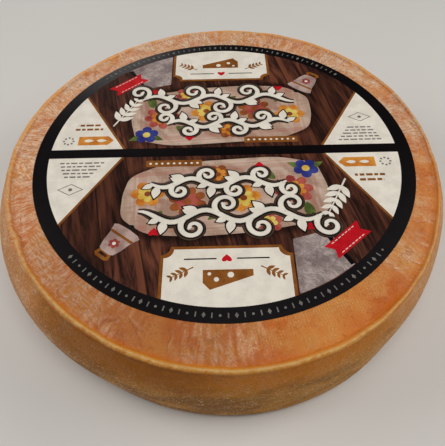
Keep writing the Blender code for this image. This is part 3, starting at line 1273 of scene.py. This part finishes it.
def half_print():
    """All the print of one half: for each ink its plates, as (outlines, level), and its strokes."""
    plates = {}
    lines = {}

    def fill(ink, level, outlines, *place):
        """Adds a plate whose outlines all go to one place, given as x, y and turn."""
        moved = [placed(outline, *place) for outline in outlines]
        plates.setdefault(ink, []).append((moved, level))

    def draw(ink, level, paths, width):
        lines.setdefault(ink, []).append((paths, width, level))

    def add_sprig(ink, level, width, *sizes):
        stem, leaves = sprig(*sizes)
        draw(ink, level, [stem], width)
        for outline in leaves:
            fill(ink, level, [outline])

    for side in (-1, 1):
        fill("brown", FIELD, [end_panel(side, PANEL_EDGE)])
        fill("cream", MOTIF, [end_panel(side)])
    fill("grey", FIELD, ring_marks())

    fill("towel", FIELD, [towel_outline()], *TOWEL_MIDDLE, TOWEL_TURN)
    fill("slate", FIELD, [[(-40, 76), (-40, 113)] + arc(120, 110.5, 128, 12) + [(-62, 70)]])
    edge_turn = degrees(atan2(SLATE_EDGE_WAY[1], SLATE_EDGE_WAY[0]))
    fill("black", MOTIF, [bar(hypot(*SLATE_EDGE_WAY), SLATE_EDGE_WIDTH)], *SLATE_EDGE, edge_turn)

    for number, (x, y, length, width, turn) in enumerate(BLOSSOM_LEAVES):
        fill("green", FIELD + LEVEL_NUDGE * (1 + number % 3), [leaf(length, width)], x, y, turn)
    for x, y, radius, petals, turn, outer, inner in BLOSSOMS:
        fill(outer, MOTIF, [rosette(radius, petals)], x, y, turn)
        fill(inner, MOTIF + 0.5, [rosette(radius * 0.62, petals)], x, y, turn + 180 / petals)
        fill("rust", OUTLINE, [disc(radius * 0.2, 20)], x, y)
    for x, y, size in HEARTS:
        fill("red", OUTLINE, [heart(size)], x, y)
    for number, turn in enumerate((205, 335), start=1):
        fill("green", MOTIF + LEVEL_NUDGE * number, [leaf(13.5, 5.6)], *BLUE_FLOWER, turn)
    fill("blue", OUTLINE, [rosette(8.6, 5)], *BLUE_FLOWER, 18)
    fill("yellow", STROKE, [disc(2.7, 20)], *BLUE_FLOWER)

    fill("brown", MOTIF, [bar(38, 6)], 34, 11)
    fill("cream", OUTLINE, [placed(disc(0.9, 12), 18 + 4 * number, 11) for number in range(9)])

    ribbon = [(-15, -5.6), (15, -5.6), (11.5, 0), (15, 5.6), (-15, 5.6), (-11.5, 0)]
    fill("red", OUTLINE, [ribbon], *RIBBON)
    for foot in (-4.1, 4.1):
        dashes = [placed(bar(2, 0.5), -9 + 3 * number, foot) for number in range(7)]
        fill("cream", STROKE, dashes, *RIBBON)
    for part in bell_parts():
        fill(*part, *BELL)
    add_sprig("cream", MOTIF, 1.3, SPRIG, 34, 5, 11)

    fill("brown", OUTLINE, [plaque(grow=2)])
    fill("cream", STROKE, [plaque()])
    fill("brown", DETAIL, wedge(), 0, 102)
    for side in (-1, 1):
        add_sprig("brown", DETAIL, 0.8, (side * 19.5, 94.5, 90 - side * 62), 15, 4, 5.2)
        fill("black", DETAIL, [bar(19, 0.9)], side * 15.5, 89)
    fill("red", DETAIL, [heart(3)], 0, 89)

    fill("grey", OUTLINE, row_marks(SMALL_ROWS, 1.2, 1))
    lozenge = [(-8.5, 0), (0, -5), (8.5, 0), (0, 5)]
    fill("grey", OUTLINE, [lozenge, placed(lozenge, size=0.88)], *LOZENGE)
    fill("grey", OUTLINE, [disc(1.3, 14)], *LOZENGE)
    fill("brown", OUTLINE, row_marks(LARGE_ROWS, 2, -1))
    tag = [(-12, -4.4), (9, -4.4), (13, 0), (9, 4.4), (-12, 4.4)]
    fill("orange", OUTLINE, [tag], -91, 13)
    fill("cream", STROKE, [leaf(7, 3), placed(leaf(7, 3), 9)], -99, 13)
    fill("grey", OUTLINE, [placed(disc(0.8, 10), *dot) for dot in disc(3.4, 8)], -110, 13)

    for numbers in GARLANDS:
        paths, leaves = garland(*numbers)
        draw("shade", OUTLINE, paths, GARLAND_WIDTH + GARLAND_SHADE)
        draw("outline", STROKE, paths, GARLAND_WIDTH + GARLAND_OUTLINE)
        draw("cream", DETAIL, paths, GARLAND_WIDTH)
        for number, outline in enumerate(leaves):
            nudge = LEVEL_NUDGE * (1 + number % 2)
            fill("outline", STROKE + nudge, [swollen(outline, 1.3)])
            fill("cream", DETAIL + nudge, [outline])
    return plates, lines


# Each ink's shade and its lighter tone
INKS = {
    "black": ((8, 4, 7), (12, 7, 10)),
    "outline": ((20, 17, 13), (34, 28, 22)),
    "shade": ((62, 46, 38), (86, 66, 54)),
    "cream": ((226, 219, 206), (239, 232, 219)),
    "brown": ((122, 70, 26), (146, 90, 38)),
    "rosy": ((150, 122, 114), (190, 164, 156)),
    "rust": ((122, 62, 32), (156, 88, 46)),
    "berry": ((142, 54, 52), (182, 92, 78)),
    "orange": ((190, 108, 38), (220, 150, 62)),
    "yellow": ((206, 168, 66), (226, 204, 112)),
    "red": ((182, 16, 28), (202, 26, 36)),
    "blue": ((38, 44, 112), (62, 70, 144)),
    "green": ((70, 84, 38), (108, 122, 62)),
    "grey": ((108, 104, 100), (128, 124, 118)),
}


def add_label(centre):
    """The paper and its print, with one piece for each ink."""
    finishes = {name: ink_finish(name, *tones) for name, tones in INKS.items()}
    finishes["towel"] = towel_finish(centre)
    finishes["slate"] = slate_finish()
    sheet = add_sheet()
    wood_turn = degrees(asin(BAR_HALF_WIDTH / RING_INNER))
    wood_field = arc(RING_INNER, wood_turn, 180 - wood_turn)
    wood = both_halves(plate("label_wood", [wood_field], WOOD))
    pieces = [(sheet, finishes["black"]), (wood, wood_finish(centre))]
    plates, lines = half_print()
    for ink in {**plates, **lines}:
        made = [plate(ink, outlines, level) for outlines, level in plates.get(ink, [])]
        made += [strokes(ink, *line) for line in lines.get(ink, [])]
        pieces.append((both_halves(joined(made, "label_print_" + ink)), finishes[ink]))
    for piece, material in pieces:
        only(piece)
        piece.location = (centre.x, centre.y, 0)
        bpy.ops.object.transform_apply()
        dress(piece, material, "paper_label")


def add_floor():
    bpy.ops.object.select_all(action="DESELECT")
    bpy.ops.mesh.primitive_plane_add(size=8, location=(0, 0, 0))
    floor = bpy.context.object
    floor.name = "floor"
    floor.data.materials.append(floor_finish())


# Each soft light's name, place, size, power and colour
LIGHTS = (
    ("light_above", (0.1, -0.25, 1.5), 1, 9, (1, 0.985, 0.955)),
    ("light_left", (-1.2, 0.15, 0.95), 0.8, 7.6, (1, 0.98, 0.95)),
    ("light_right", (1.15, 0.1, 0.9), 0.8, 7.3, (1, 0.98, 0.94)),
    ("light_back", (-0.5, 1.5, 0.25), 0.4, 3, (1, 0.98, 0.95)),
)
WORLD_COLOUR = (1, 0.99, 0.97, 1)
WORLD_STRENGTH = 0.07


def add_light(name, place, size, power, colour):
    """A soft square light that points at the wheel's middle."""
    lamp = bpy.data.lights.new(name, "AREA")
    lamp.size = size
    lamp.energy = power
    lamp.color = colour
    light = add_object(name, lamp)
    light.location = place
    towards = Vector((0, 0, WHEEL_HEIGHT / 2)) - Vector(place)
    light.rotation_euler = towards.to_track_quat("-Z", "Y").to_euler()


def add_studio():
    add_floor()
    for light in LIGHTS:
        add_light(*light)
    world = bpy.data.worlds.new("studio")
    world.use_nodes = True
    background = world.node_tree.nodes["Background"]
    background.inputs["Color"].default_value = WORLD_COLOUR
    background.inputs["Strength"].default_value = WORLD_STRENGTH
    bpy.context.scene.world = world
    bpy.context.scene.view_settings.view_transform = "Standard"


def main():
    add_camera()
    centre = label_centre()
    axis = Vector((centre.x, centre.y, 0)) - LABEL_OFFSET
    rind = add_rind(axis)
    dress(rind, rind_finish(), "cheese_wheel")
    add_label(centre)
    add_studio()


main()
